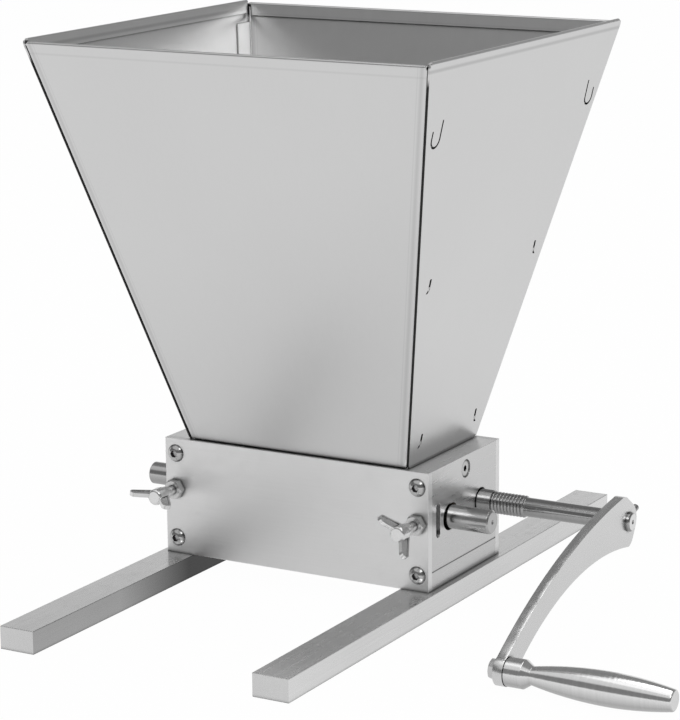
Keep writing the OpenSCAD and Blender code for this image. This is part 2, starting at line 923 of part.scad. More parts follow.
// Wing on one side of a wing bolt's head, dished on both faces inside a raised rim
module wing(root_z, tip_z) {
    difference() {
        wing_blade(root_z, tip_z, 0, wing_t);
        for (face = [-1, 1])
            translate([0, face * wing_t / 2, 0])
                wing_blade(root_z, tip_z, wing_rim, 2 * wing_dish);
    }
}

// Wing bolt that stands forward from the front plate's face at the origin
module wing_bolt(angle) {
    head_from = lock_nut_h + shank_out;
    head_to = head_from + wing_hub_len;
    head_r = wing_hub_d / 2;
    round_r = head_r / 3;
    rotate_extrude()
        polygon(concat(
            [
                [0, -bolt_tip_in],
                [wing_bolt_d / 2, -bolt_tip_in],
                [wing_bolt_d / 2, head_from],
                [wing_bolt_d / 2 + round_r / 2, head_from],
                [head_r, head_from + wing_hub_len / 2],
            ],
            [for (a = [0 : 15 : 90])
                [head_r - round_r + round_r * cos(a), head_to - round_r + round_r * sin(a)]],
            [[0, head_to]]
        ));
    rotate([0, 0, angle])
        for (side = [0, 180])
            rotate([0, 0, side])
                wing(head_from + wing_hub_len * wing_root_share, head_to + wing_ahead);
}

module wing_bolt_left() {
    color(polished)
        translate([-block_x, -body_d / 2, adjuster_z])
            face_forward()
                wing_bolt(wing_angle_left);
}

module wing_bolt_right() {
    color(polished)
        translate([block_x, -body_d / 2, adjuster_z])
            face_forward()
                wing_bolt(wing_angle_right);
}

module lock_nut() {
    difference() {
        hex_block(lock_nut_af, lock_nut_h);
        translate([0, 0, -cut])
            cylinder(r = wing_bolt_d / 2 + run_gap, h = lock_nut_h + 2 * cut);
    }
}

module lock_nut_left() {
    color(polished)
        translate([-block_x, -body_d / 2, adjuster_z])
            face_forward()
                lock_nut();
}

module lock_nut_right() {
    color(polished)
        translate([block_x, -body_d / 2, adjuster_z])
            face_forward()
                lock_nut();
}

// Hopper, drawn around its own middle and set back by place_hopper

module place_hopper() {
    translate([0, hopper_back_by, 0])
        children();
}

// Half the outer width and half the outer depth of the hopper at a height
function half_w(z) =
    (hopper_base_w + (hopper_top_w - hopper_base_w) * (z - hopper_base) / hopper_h) / 2;
function half_d(z) =
    (hopper_base_d + (hopper_top_d - hopper_base_d) * (z - hopper_base) / hopper_h) / 2;

hem_r = sheet_t + hem_gap / 2;
leaf_in = sheet_t + hem_gap;
rim_z = hopper_top - hem_r;
front_top = hopper_top - front_rim_low;
front_rim_z = front_top - hem_r;
flange_top = hopper_top - flange_drop;
side_lean = atan((hopper_top_w - hopper_base_w) / 2 / hopper_h);
front_lean = atan((hopper_top_d - hopper_base_d) / 2 / hopper_h);
front_edge_lean = atan(tan(side_lean) * cos(front_lean));
side_edge_lean = atan(tan(front_lean) * cos(side_lean));

function at_height(line, z) = [for (p = line) [p.x, p.y, z]];

// Sheet between two level ribbons. Each ribbon is the list of its outer points, then the list
// of as many inner points, both anticlockwise as seen from above.
module loft(low_z, low, high_z, high) {
    n = len(low[0]);
    polyhedron(
        points = concat(
            at_height(low[0], low_z), at_height(low[1], low_z),
            at_height(high[0], high_z), at_height(high[1], high_z)
        ),
        faces = concat(
            [for (i = [0 : n - 2]) [i, i + 1, n + i + 1, n + i]],
            [for (i = [0 : n - 2]) [2 * n + i, 3 * n + i, 3 * n + i + 1, 2 * n + i + 1]],
            [for (i = [0 : n - 2]) [i, 2 * n + i, 2 * n + i + 1, i + 1]],
            [for (i = [0 : n - 2]) [n + i, n + i + 1, 3 * n + i + 1, 3 * n + i]],
            [[n, 3 * n, 2 * n, 0], [n - 1, 3 * n - 1, 4 * n - 1, 2 * n - 1]]
        )
    );
}

// Points of an arc
function arc(centre, r, from, to, steps) = [
    for (i = [0 : steps]) let (a = from + (to - from) * i / steps)
        centre + r * [cos(a), sin(a)]
];

// Half the width of the front and back walls at a height
function folded_half_w(z) = half_w(z) - sheet_t - sheet_gap;

// One line of the front wall's ribbon with its two flanges, at a depth below the outer face
function folded_line(z, depth) =
    let (
        w = folded_half_w(z),
        y = -half_d(z),
        steps = 6
    )
    concat(
        [[-w + depth, y + flange_w]],
        arc([-w + fold_r, y + fold_r], fold_r - depth, 180, 270, steps),
        arc([w - fold_r, y + fold_r], fold_r - depth, 270, 360, steps),
        [[w - depth, y + flange_w]]
    );

function folded_ribbon(z) = [folded_line(z, 0), folded_line(z, sheet_t)];

// Ribbon along X, set in from the front wall's outer face and short of its edges
function front_ribbon(z, short, set_in, thick) =
    let (
        w = folded_half_w(z) - short,
        y = -half_d(z) + set_in
    )
    [[[-w, y], [w, y]], [[-w, y + thick], [w, y + thick]]];

// Ribbon along Y, set in from the right wall's outer face and short of its edges
function side_ribbon(z, short, set_in) =
    let (
        x = half_w(z) - set_in,
        y = half_d(z) - seam_set - short
    )
    [[[x, -y], [x, y]], [[x - sheet_t, -y], [x - sheet_t, y]]];

// Cutter that rounds an upper corner. The corner is at the origin, the rim goes from there
// along -X, and the wall's edge goes down, leaning in from -Y by that angle.
module corner_cutter(edge_lean) {
    along = rim_corner_r / tan((90 - edge_lean) / 2);
    reach = 3 * hem_r;
    translate([0, 0, -reach])
        linear_extrude(2 * reach)
            difference() {
                polygon([
                    [-along, -rim_corner_r],
                    [-along, cut],
                    [cut, cut],
                    [-along * sin(edge_lean) + cut * cos(edge_lean),
                        -along * cos(edge_lean) - cut * sin(edge_lean)],
                ]);
                translate([-along, -rim_corner_r])
                    circle(r = rim_corner_r);
            }
}

// Lip that guides the grain in over the roller, from the wall's foot at its outer face
module feed_lip(wall_y, plate_y) {
    top = plate_y - sheet_gap;
    low = top - lip_in;
    low_z = axis_z + roller_d / 2 + lip_gap;
    half = folded_half_w(hopper_base) - fold_r;
    translate([-half, 0, 0])
        rotate([90, 0, 90])
            linear_extrude(2 * half)
                polygon([
                    [-wall_y, hopper_base],
                    [-top, hopper_base],
                    [-low, low_z],
                    [-low + sheet_t, low_z],
                    [-top + sheet_t, hopper_base + sheet_t],
                    [-wall_y, hopper_base + sheet_t],
                ]);
}

// Heights of the seam slots above the hopper's foot
seam_heights = [seam_low_z, seam_mid_z];
// Length of the hooks, from the middle of the flange to just inside the side wall's outer face
hook_reach = sheet_t / 2 + sheet_t;

// Hooks that reach from a flange out through the side wall's slots
module seam_hooks() {
    for (h = seam_heights) {
        z = hopper_base + h;
        x = folded_half_w(z) - sheet_t / 2;
        y = -half_d(z) + slot_from_face;
        for (side = [-1, 1])
            translate([side * x, y, z])
                rotate([0, side * side_lean, 0])
                    box([side > 0 ? 0 : -hook_reach, -seam_slot_w / 2 + hook_gap, seam_hook_w],
                        [side > 0 ? hook_reach : 0, seam_slot_w / 2 - hook_gap,
                            seam_slot_h / 2]);
    }
}

// Front wall around the hopper's middle; plate_y is the inner face of the plate below it
module folded_wall(plate_y) {
    leaf_z = front_top - hem_h;
    over_z = front_rim_z + flange_drop;
    hem_half = folded_half_w(front_rim_z) - front_hem_short;
    difference() {
        union() {
            difference() {
                loft(hopper_base, folded_ribbon(hopper_base),
                    front_rim_z, folded_ribbon(front_rim_z));
                loft(flange_top, front_ribbon(flange_top, -cut, fold_r, flange_w),
                    over_z, front_ribbon(over_z, -cut, fold_r, flange_w));
            }
            translate([0, -half_d(front_rim_z) + hem_r, front_rim_z])
                bar_x(2 * hem_r, -hem_half, hem_half);
        }
        for (side = [0, 1])
            mirror([side, 0, 0])
                translate([folded_half_w(front_top), -half_d(front_top), front_top])
                    rotate([90 + front_lean, 0, 0])
                        corner_cutter(front_edge_lean);
    }
    loft(leaf_z, front_ribbon(leaf_z, rim_corner_r, leaf_in, sheet_t),
        front_rim_z, front_ribbon(front_rim_z, rim_corner_r, leaf_in, sheet_t));
    feed_lip(half_d(hopper_base), plate_y);
    seam_hooks();
}

module hopper_front() {
    color(sheet)
        place_hopper()
            folded_wall(well_y + hopper_back_by);
}

module hopper_back() {
    color(sheet)
        place_hopper()
            rotate([0, 0, 180])
                folded_wall(well_y - hopper_back_by);
}

// Hooked slot in the right wall near its front edge
module seam_slot() {
    half = seam_slot_w / 2;
    rotate([90, 0, 90])
        linear_extrude(4 * sheet_t, center = true)
            polygon([
                [-half, seam_hook_w], [-half - seam_hook_w, 0], [half - seam_hook_w, 0],
                [half, seam_hook_w], [half, seam_slot_h], [-half, seam_slot_h],
            ]);
}

// U shaped cut that frees a tongue in the right wall near its front edge
module tongue_cut() {
    r = tongue_w / 2;
    rotate([90, 0, 90])
        linear_extrude(4 * sheet_t, center = true)
            difference() {
                union() {
                    circle(r = r);
                    translate([-r, 0])
                        square([tongue_w, tongue_h - r]);
                }
                circle(r = r - lance_w);
                translate([-r + lance_w, 0])
                    square([tongue_w - 2 * lance_w, tongue_h]);
                translate([-r - lance_w, tongue_h - tongue_w])
                    square([2 * lance_w, tongue_w]);
            }
}

module right_wall() {
    leaf_z = hopper_top - hem_h;
    hem_half = half_d(rim_z) - seam_set - side_hem_short;
    difference() {
        union() {
            loft(hopper_base, side_ribbon(hopper_base, 0, 0), rim_z, side_ribbon(rim_z, 0, 0));
            translate([half_w(rim_z) - hem_r, hem_half, rim_z])
                face_forward()
                    cylinder(r = hem_r, h = 2 * hem_half);
        }
        for (back = [0, 1])
            mirror([0, back, 0]) {
                for (h = seam_heights)
                    let (z = hopper_base + h)
                    translate([half_w(z), -half_d(z) + slot_from_face, z])
                        rotate([0, side_lean, 0])
                            seam_slot();
                let (z = hopper_top - tongue_drop)
                translate([half_w(z), -half_d(z) + tongue_from_face, z])
                    rotate([0, side_lean, 0])
                        tongue_cut();
                translate([half_w(hopper_top), half_d(hopper_top) - seam_set, hopper_top])
                    rotate([0, side_lean, 0])
                        rotate([90, 0, 90])
                            corner_cutter(side_edge_lean);
            }
    }
    loft(leaf_z, side_ribbon(leaf_z, rim_corner_r, leaf_in),
        rim_z, side_ribbon(rim_z, rim_corner_r, leaf_in));
}

// Skirt and tab that go down inside the end block, with the hole of the tab's screw
module fixing_tab() {
    tab_out = well_x - sheet_gap;
    skirt_half = well_y - sheet_gap;
    difference() {
        union() {
            box([tab_out - sheet_t, nip_y - tab_w / 2, body_top - tab_drop],
                [tab_out, nip_y + tab_w / 2, hopper_base]);
            box([tab_out - sheet_t, -skirt_half, body_top - skirt_drop],
                [tab_out, skirt_half, hopper_base + sheet_gap]);
        }
        translate([0, nip_y, body_top - hopper_screw_drop])
            bar_x(screw_d + 2 * hole_gap, tab_out - sheet_t - cut, tab_out + cut);
    }
}

module hopper_right() {
    color(sheet) {
        place_hopper()
            right_wall();
        fixing_tab();
    }
}

module hopper_left() {
    color(sheet)
        mirror([1, 0, 0]) {
            place_hopper()
                right_wall();
            fixing_tab();
        }
}

// Places a piece at each hopper screw, with Z pointing out of the end block's face
module hopper_screw_places() {
    for (side = [0, 1])
        mirror([side, 0, 0])
            translate([side_x, nip_y, body_top - hopper_screw_drop])
                rotate([0, 90, 0])
                    children();
}

module hopper_screws() {
    color(polished)
        hopper_screw_places()
            translate([0, 0, -flush_sunk])
                flush_screw(block_t - flush_sunk + sheet_gap + sheet_t + hopper_nut_h);
}

module hopper_nuts() {
    color(dull)
        hopper_screw_places()
            translate([0, 0, -block_t - sheet_gap - sheet_t - hopper_nut_h])
                difference() {
                    hex_block(hopper_nut_af, hopper_nut_h);
                    translate([0, 0, -cut])
                        cylinder(r = screw_d / 2 + fit_gap, h = hopper_nut_h + 2 * cut);
                }
}

front_plate();
back_plate();
end_block_left();
end_block_right();
foot_bar_left();
foot_bar_right();
front_plate_screws();
back_plate_screws();
foot_screws();
drive_bush_left();
drive_bush_right();
captive_nut_left();
captive_nut_right();
hopper_front();
hopper_back();
hopper_left();
hopper_right();
hopper_screws();
hopper_nuts();
idle_bearing_left();
idle_bearing_right();
idle_roller();
idle_shaft();
drive_roller();
drive_shaft();
crank_arm();
crank_set_screw();
grip();
grip_bolt();
wing_bolt_left();
wing_bolt_right();
lock_nut_left();
lock_nut_right();
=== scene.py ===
"""Looks of the malt mill: metals for the CAD nodes, rounded edges, a pale studio and the photo's camera."""

import math

import bpy
from mathutils import Matrix, Vector


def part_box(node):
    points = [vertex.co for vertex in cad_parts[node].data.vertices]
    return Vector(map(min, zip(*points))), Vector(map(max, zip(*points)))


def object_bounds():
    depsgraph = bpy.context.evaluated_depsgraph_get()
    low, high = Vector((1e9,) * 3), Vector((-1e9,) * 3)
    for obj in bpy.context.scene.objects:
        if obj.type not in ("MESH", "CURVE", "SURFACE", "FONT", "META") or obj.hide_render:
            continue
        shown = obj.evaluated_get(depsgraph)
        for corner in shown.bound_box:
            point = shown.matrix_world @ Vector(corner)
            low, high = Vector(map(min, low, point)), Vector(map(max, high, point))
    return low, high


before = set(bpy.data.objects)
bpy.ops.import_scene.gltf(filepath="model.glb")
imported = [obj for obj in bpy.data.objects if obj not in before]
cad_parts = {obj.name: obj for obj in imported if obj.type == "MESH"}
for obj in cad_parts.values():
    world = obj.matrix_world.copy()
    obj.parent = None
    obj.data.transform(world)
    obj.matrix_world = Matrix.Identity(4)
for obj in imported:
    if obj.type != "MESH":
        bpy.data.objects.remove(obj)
cad_low, cad_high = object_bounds()
MM = 0.001

# Camera that matches the photo, its lens and sensor in millimetres
CAMERA_PLACE = (717.41 * MM, -1245.57 * MM, 449.89 * MM)
CAMERA_YAW = math.radians(-29.754)
CAMERA_PITCH = math.radians(-13.032)
CAMERA_ROLL = math.radians(-0.471)
CAMERA_LENS = 140.1
SENSOR_WIDTH = 36.0
NEAREST_SEEN, FARTHEST_SEEN = 0.05, 50.0

# Grain of the broad clouds and of the small dents in every metal, in periods per metre
CLOUD_GRAIN = (14.0, 14.0, 14.0)
DENT_GRAIN = (190.0, 190.0, 190.0)
# How many times finer than the grain its second layer is, and how strong in the relief
FINE_GRAIN, FINE_SHARE = 2.7, 0.5
RELIEF_HEIGHT = 0.02 * MM
# Parts of the noise's range that change the tone, the roughness of the grain and that of the dents
TONE_LOW, TONE_HIGH = 0.3, 0.7
GRAIN_LOW, GRAIN_HIGH = 0.25, 0.75
DENTS_LOW, DENTS_HIGH = 0.52, 0.75
LEAST_ROUGHNESS = 0.05
# Agreement of the rounded normal with the flat one on a plain face and on an edge; a lighter edge tone
# stands for wear, a darker one is a painted shade outline
FACE_AGREES, EDGE_AGREES = 0.98, 0.8
# Painted shade in narrow gaps: how far a gap is felt, and its openness where the painted shade is darkest
# and where it has no effect
CREVICE_SHADE_REACH = 2.4 * MM
CLOSED, OPEN = 0.3, 0.85
# Upward part of the normal where a face counts as looking down and gets painted shade, and where it doesn't
FACING_DOWN, FACING_OUT = -0.5, 0.2
# Part of the normal along an axis on a face beside that axis and on one across it
BESIDE, ACROSS = 0.85, 0.95

# Feet: painted shade on their inner sides, as shares of the tone near the body's middle and far from it
# along Y
INNER_SIDE_NEAR, INNER_SIDE_FAR = 0.10, 0.55
NEAR_BODY, CLEAR_OF_BODY = 45.0 * MM, 110.0 * MM
# Outward part of the normal at which a side starts to count as an inner one, and where it does in full
INNER_FROM, INNER_FULL = -0.3, -0.7
# Share of the tone on the feet's ends, a painted shade
FOOT_END_PAINTED_SHADE = 0.87
# Painted light: shares of the tone on the drive shaft's ends and shoulders, and on the end blocks' tops,
# which come out lighter
SHAFT_END_PAINTED_LIGHT = 1.9
BLOCK_TOP_PAINTED_LIGHT = 1.25

# Hopper: sideways lean of the front wall's edges per unit of height
WALL_SLOPE = 0.2301
# Each painted shade line: its place below the rim or from the side wall, its half width and the share of
# tone left
FRONT_HEM = (7.4 * MM, 0.8 * MM, 0.93)
SIDE_HEM = (4.6 * MM, 1.3 * MM, 0.78)
FOLD_BAND = (3.7 * MM, 1.6 * MM, 0.86)
FOLD_END = (5.9 * MM, 0.5 * MM, 0.93)
# Share of a line's half width over which it is darkest
LINE_CORE = 0.2
# Part of the normal along Y on a side wall's plain face and on its cut edge, and how dark the cut edge is
# painted as shade in the seam
PLAIN_FACE, CUT_EDGE = 0.80, 0.92
CUT_EDGE_DARK = 0.95
# Depth below the rim over which the painted seam shade on the cut edges sets in
SEAM_STARTS, SEAM_DARK = 8.0 * MM, 12.0 * MM

# Screw heads: shares of the diameter where the painted shade on the rim starts and where it is full, and its
# tone
RIM_STARTS, RIM_FULL, RIM_TONE = 0.38, 0.47, 0.3


# Shader building blocks

def node(tree, kind, inputs=None, **settings):
    """Adds a shader node. An input is named or numbered, and is either a value or a socket to link."""
    made = tree.nodes.new(kind)
    for key, value in settings.items():
        setattr(made, key, value)
    for key, value in (inputs or {}).items():
        if isinstance(value, bpy.types.NodeSocket):
            tree.links.new(value, made.inputs[key])
        else:
            made.inputs[key].default_value = value
    return made


def maths(tree, operation, first, second=0.0, third=0.0):
    """Result socket of one maths node."""
    return node(tree, "ShaderNodeMath", {0: first, 1: second, 2: third}, operation=operation).outputs[0]


def spread(tree, value, low, high, to_low, to_high):
    """Maps value from one range to another and stays inside it."""
    ends = {"Value": value, "From Min": low, "From Max": high, "To Min": to_low, "To Max": to_high}
    return node(tree, "ShaderNodeMapRange", ends).outputs["Result"]


def noise(tree, coords, scale, detail, roughness):
    """Noise along coordinates stretched by scale, the number of periods per metre along each axis."""
    place = node(tree, "ShaderNodeMapping", {"Vector": coords, "Scale": scale}).outputs[0]
    settings = {"Vector": place, "Scale": 1.0, "Detail": detail, "Roughness": roughness}
    return node(tree, "ShaderNodeTexNoise", settings).outputs["Fac"]


def metal(name, grey, roughness, grain, depth=0.3, lines=0.03, clouds=0.02, rough_lines=0.06,
          scuffs=0.2, edge_wear_and_shade=0.12, edge_radius=0.4, crevice_shade_left=0.04, underside_shade=1.0,
          tint=(1.0, 1.0, 1.0), shade=None):
    """Ground, brushed or satin metal.

    Grain is the number of periods per metre along X, Y and Z, depth the strength of the relief and scuffs
    the part of small dents in it. Lines and clouds are the shares by which the tone changes, rough_lines the
    change of the roughness and edge_wear_and_shade the change of the tone on edges: lighter edges stand for
    wear, darker ones are a painted shade outline. Edge_radius is in millimetres. Crevice_shade_left and
    underside_shade are the shares of the tone left by painted shade in narrow gaps and on faces that look
    down.
    Shade makes one more factor of the tone, painted light and shade, from the tree, the coordinates and the
    normal.
    """
    material = bpy.data.materials.new(name)
    material.use_nodes = True
    tree = material.node_tree
    tree.nodes.clear()
    coords = node(tree, "ShaderNodeTexCoord").outputs["Object"]
    grain_lines = noise(tree, coords, grain, 3.0, 0.6)
    fine_lines = noise(tree, coords, tuple(FINE_GRAIN * g for g in grain), 2.0, 0.5)
    cloud = noise(tree, coords, CLOUD_GRAIN, 3.0, 0.5)
    dents = noise(tree, coords, DENT_GRAIN, 4.0, 0.65)

    round_normal = node(tree, "ShaderNodeBevel", {"Radius": edge_radius * MM}, samples=4).outputs[0]
    flat_normal = node(tree, "ShaderNodeNewGeometry").outputs["Normal"]
    agreement = node(
        tree, "ShaderNodeVectorMath", {0: round_normal, 1: flat_normal}, operation="DOT_PRODUCT"
    ).outputs["Value"]
    edge = spread(tree, agreement, FACE_AGREES, EDGE_AGREES, 0.0, 1.0)
    # Painted shade: the tone is darkened in narrow gaps, the more the closer they are
    openness = node(
        tree, "ShaderNodeAmbientOcclusion", {"Distance": CREVICE_SHADE_REACH}, samples=6
    ).outputs["AO"]
    crevice_shade = spread(tree, openness, CLOSED, OPEN, crevice_shade_left, 1.0)
    lean = node(tree, "ShaderNodeSeparateXYZ", {0: flat_normal}).outputs["Z"]

    tone = maths(tree, "ADD", spread(tree, grain_lines, TONE_LOW, TONE_HIGH, -lines, lines), 1.0)
    tone = maths(tree, "ADD", tone, spread(tree, cloud, TONE_LOW, TONE_HIGH, -clouds, clouds))
    # Edge tone: a lift stands for wear, a drop paints a shade outline
    tone = maths(tree, "ADD", tone, maths(tree, "MULTIPLY", edge, edge_wear_and_shade))
    tone = maths(tree, "MULTIPLY", tone, crevice_shade)
    # Painted shade: faces that look down keep only a share of the tone
    tone = maths(tree, "MULTIPLY", tone, spread(tree, lean, FACING_DOWN, FACING_OUT, underside_shade, 1.0))
    if shade:
        tone = maths(tree, "MULTIPLY", tone, shade(tree, coords, flat_normal))
    full_colour = tuple(grey * part for part in tint)
    colour = node(
        tree, "ShaderNodeVectorMath", {0: full_colour, "Scale": tone}, operation="SCALE"
    ).outputs[0]

    rough_grain = spread(tree, grain_lines, GRAIN_LOW, GRAIN_HIGH, -rough_lines, rough_lines)
    rough = maths(tree, "ADD", rough_grain, roughness)
    rough = maths(tree, "ADD", rough, spread(tree, dents, DENTS_LOW, DENTS_HIGH, 0.0, rough_lines))
    rough = maths(tree, "MAXIMUM", rough, LEAST_ROUGHNESS)

    height = maths(tree, "ADD", grain_lines, maths(tree, "MULTIPLY", fine_lines, FINE_SHARE))
    height = maths(tree, "ADD", height, maths(tree, "MULTIPLY", dents, scuffs))
    relief = {"Strength": depth, "Distance": RELIEF_HEIGHT, "Height": height, "Normal": round_normal}
    bump = node(tree, "ShaderNodeBump", relief).outputs[0]
    surface = node(
        tree, "ShaderNodeBsdfPrincipled",
        {"Base Color": colour, "Metallic": 1.0, "Roughness": rough, "Normal": bump},
    )
    output = node(tree, "ShaderNodeOutputMaterial")
    tree.links.new(surface.outputs[0], output.inputs["Surface"])
    return material


def paint_light_on_faces_across(axis, tone):
    """Painted light and shade: gives the faces across an axis that share of the tone."""
    def shade(tree, coords, normal):
        facing = maths(tree, "ABSOLUTE", node(tree, "ShaderNodeSeparateXYZ", {0: normal}).outputs[axis])
        return spread(tree, facing, BESIDE, ACROSS, 1.0, tone)

    return shade


def painted_shade_under_the_mill(tree, coords, normal):
    """Painted shade: darkens the feet's sides that face each other, most of all near the body, and their
    ends a little.
    """
    place = node(tree, "ShaderNodeSeparateXYZ", {0: coords})
    side = node(tree, "ShaderNodeSeparateXYZ", {0: normal})
    outward = maths(tree, "MULTIPLY", side.outputs["X"], maths(tree, "SIGN", place.outputs["X"]))
    inward = spread(tree, outward, INNER_FROM, INNER_FULL, 0.0, 1.0)
    ahead = maths(tree, "ABSOLUTE", place.outputs["Y"])
    left = spread(tree, ahead, NEAR_BODY, CLEAR_OF_BODY, INNER_SIDE_NEAR, INNER_SIDE_FAR)
    lost = maths(tree, "MULTIPLY", inward, maths(tree, "SUBTRACT", 1.0, left))
    sides = maths(tree, "SUBTRACT", 1.0, lost)
    return maths(tree, "MULTIPLY", sides, paint_light_on_faces_across("Y", FOOT_END_PAINTED_SHADE)(tree, coords, normal))


def line_at(tree, distance, place, half_width, left):
    """Soft painted shade line where a distance has that value; left is the share of the tone in its middle.
    """
    off = maths(tree, "ABSOLUTE", maths(tree, "SUBTRACT", distance, place))
    return spread(tree, off, LINE_CORE * half_width, half_width, left, 1.0)


def painted_hem_and_fold_shade(tree, coords, normal):
    """Painted shade: a faint line below the rim where the hem ends, and soft bands where the folds bend to
    the flanges.
    """
    place = node(tree, "ShaderNodeSeparateXYZ", {0: coords})
    below = maths(tree, "SUBTRACT", cad_high[2], place.outputs["Z"])
    hem = line_at(tree, below, *FRONT_HEM)
    edge = maths(tree, "MULTIPLY_ADD", below, -WALL_SLOPE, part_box("hopper_right")[1].x)
    from_edge = maths(tree, "SUBTRACT", edge, maths(tree, "ABSOLUTE", place.outputs["X"]))
    band = line_at(tree, from_edge, *FOLD_BAND)
    end = line_at(tree, from_edge, *FOLD_END)
    return maths(tree, "MULTIPLY", hem, maths(tree, "MULTIPLY", band, end))


def painted_hem_and_seam_shade(tree, coords, normal):
    """Painted shade: a line where the hem of a side wall ends, and its cut edges dark below the rim where
    they close the seams.
    """
    height = node(tree, "ShaderNodeSeparateXYZ", {0: coords}).outputs["Z"]
    below = maths(tree, "SUBTRACT", cad_high[2], height)
    hem = line_at(tree, below, *SIDE_HEM)
    facing = maths(tree, "ABSOLUTE", node(tree, "ShaderNodeSeparateXYZ", {0: normal}).outputs["Y"])
    cut = spread(tree, facing, PLAIN_FACE, CUT_EDGE, 0.0, 1.0)
    on_wall = spread(tree, below, SEAM_STARTS, SEAM_DARK, 0.0, CUT_EDGE_DARK)
    dark = maths(tree, "SUBTRACT", 1.0, maths(tree, "MULTIPLY", cut, on_wall))
    return maths(tree, "MULTIPLY", dark, hem)


def painted_rim_shade(name, along, diameter):
    """Painted shade that darkens the rims of a node's round screw heads, whose screws lie along that axis.

    Seen along that axis the heads lie evenly around the middle of the node's box.
    """
    low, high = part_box(name)
    across = [axis for axis in range(3) if axis != along]

    def shade(tree, coords, normal):
        place = node(tree, "ShaderNodeSeparateXYZ", {0: coords}).outputs
        square = 0.0
        for axis in across:
            middle = (low[axis] + high[axis]) / 2
            spacing = (high[axis] - low[axis] - diameter) / 2
            off = maths(tree, "SUBTRACT", place[axis], middle)
            off = maths(tree, "SUBTRACT", maths(tree, "ABSOLUTE", off), spacing)
            square = maths(tree, "MULTIPLY_ADD", off, off, square)
        radius = maths(tree, "SQRT", square)
        return spread(tree, radius, RIM_STARTS * diameter, RIM_FULL * diameter, 1.0, RIM_TONE)

    return shade


# Metals of the CAD nodes

EVEN_GRAIN = (700.0, 700.0, 700.0)
plate_metal = metal("plate_metal", 0.95, 0.40, (25.0, 900.0, 900.0), depth=0.15, lines=0.015, scuffs=0.0)
block_metal = metal("block_metal", 0.74, 0.30, (700.0, 25.0, 700.0), depth=0.15, lines=0.02, scuffs=0.0,
                    shade=paint_light_on_faces_across("Z", BLOCK_TOP_PAINTED_LIGHT))
foot_metal = metal("foot_metal", 0.89, 0.24, (1100.0, 14.0, 1100.0), depth=0.2, lines=0.04, clouds=0.03,
                   shade=painted_shade_under_the_mill)
SHEET = {
    "grey": 0.80, "roughness": 0.32, "grain": (420.0, 420.0, 12.0), "depth": 0.03, "lines": 0.006,
    "clouds": 0.008, "rough_lines": 0.02, "scuffs": 0.0, "edge_wear_and_shade": 0.0, "edge_radius": 0.15,
}
sheet_metal = metal("sheet_metal", **SHEET, shade=painted_hem_and_fold_shade)
side_metal = metal("side_metal", **SHEET, shade=painted_hem_and_seam_shade)
nut_metal = metal("nut_metal", 0.70, 0.20, EVEN_GRAIN, depth=0.1, edge_radius=0.25)
dull_metal = metal("dull_metal", 0.45, 0.32, EVEN_GRAIN)
# Wing bolts: darker edges as a painted shade outline
cast_metal = metal("cast_metal", 0.88, 0.20, (400.0, 400.0, 400.0), edge_wear_and_shade=-0.4, edge_radius=0.2)
ground_metal = metal("ground_metal", 0.50, 0.12, (1500.0, 12.0, 12.0), depth=0.1, lines=0.05, underside_shade=0.7,
                     crevice_shade_left=0.35, shade=paint_light_on_faces_across("X", SHAFT_END_PAINTED_LIGHT))
stub_metal = metal("stub_metal", 0.60, 0.18, (1500.0, 12.0, 12.0), depth=0.06, lines=0.02,
                   scuffs=0.0, underside_shade=0.75, crevice_shade_left=0.2)
grip_metal = metal("grip_metal", 0.94, 0.14, (1200.0, 10.0, 10.0), depth=0.08, lines=0.04, underside_shade=0.55)
arm_metal = metal("arm_metal", 0.80, 0.26, (500.0, 14.0, 300.0), depth=0.04, lines=0.015, scuffs=0.0,
                  edge_wear_and_shade=0.0, edge_radius=0.1)
roller_metal = metal("roller_metal", 0.45, 0.34, (60.0, 500.0, 500.0))
bronze_metal = metal("bronze_metal", 0.80, 0.30, (900.0, 40.0, 40.0), tint=(0.78, 0.54, 0.28))

LOOKS = {
    plate_metal: ["front_plate", "back_plate"],
    block_metal: ["end_block_left", "end_block_right"],
    foot_metal: ["foot_bar_left", "foot_bar_right"],
    sheet_metal: ["hopper_front", "hopper_back"],
    side_metal: ["hopper_left", "hopper_right"],
    nut_metal: ["hopper_nuts", "grip_bolt", "lock_nut_left", "lock_nut_right"],
    dull_metal: ["captive_nut_left", "captive_nut_right", "crank_set_screw"],
    cast_metal: ["wing_bolt_left", "wing_bolt_right"],
    ground_metal: ["drive_shaft"],
    stub_metal: ["idle_shaft"],
    grip_metal: ["grip"],
    arm_metal: ["crank_arm"],
    roller_metal: ["drive_roller", "idle_roller"],
    bronze_metal: ["drive_bush_left", "drive_bush_right", "idle_bearing_left", "idle_bearing_right"],
}
# Axis that the screws of a node lie along, and the diameter of their heads in millimetres
HEADS = {
    "front_plate_screws": (1, 9.6),
    "back_plate_screws": (1, 9.6),
    "foot_screws": (2, 8.8),
    "hopper_screws": (0, 8.8),
}
# Screw heads with painted shade on their rims
for name, (along, diameter) in HEADS.items():
    rims = painted_rim_shade(name, along, diameter * MM)
    LOOKS[metal(name, 0.60, 0.14, EVEN_GRAIN, depth=0.1, edge_radius=0.2, shade=rims)] = [name]

for material, names in LOOKS.items():
    for name in names:
        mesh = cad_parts[name].data
        mesh.materials.clear()
        mesh.materials.append(material)


# Broken edges: the sharp edges of these nodes are rounded by that many millimetres

EDGES = {
    0.3: ["foot_bar_left", "foot_bar_right"],
    0.25: ["crank_arm"],
}
SHARP_ANGLE = math.radians(40.0)
WELD_REACH = 0.001 * MM


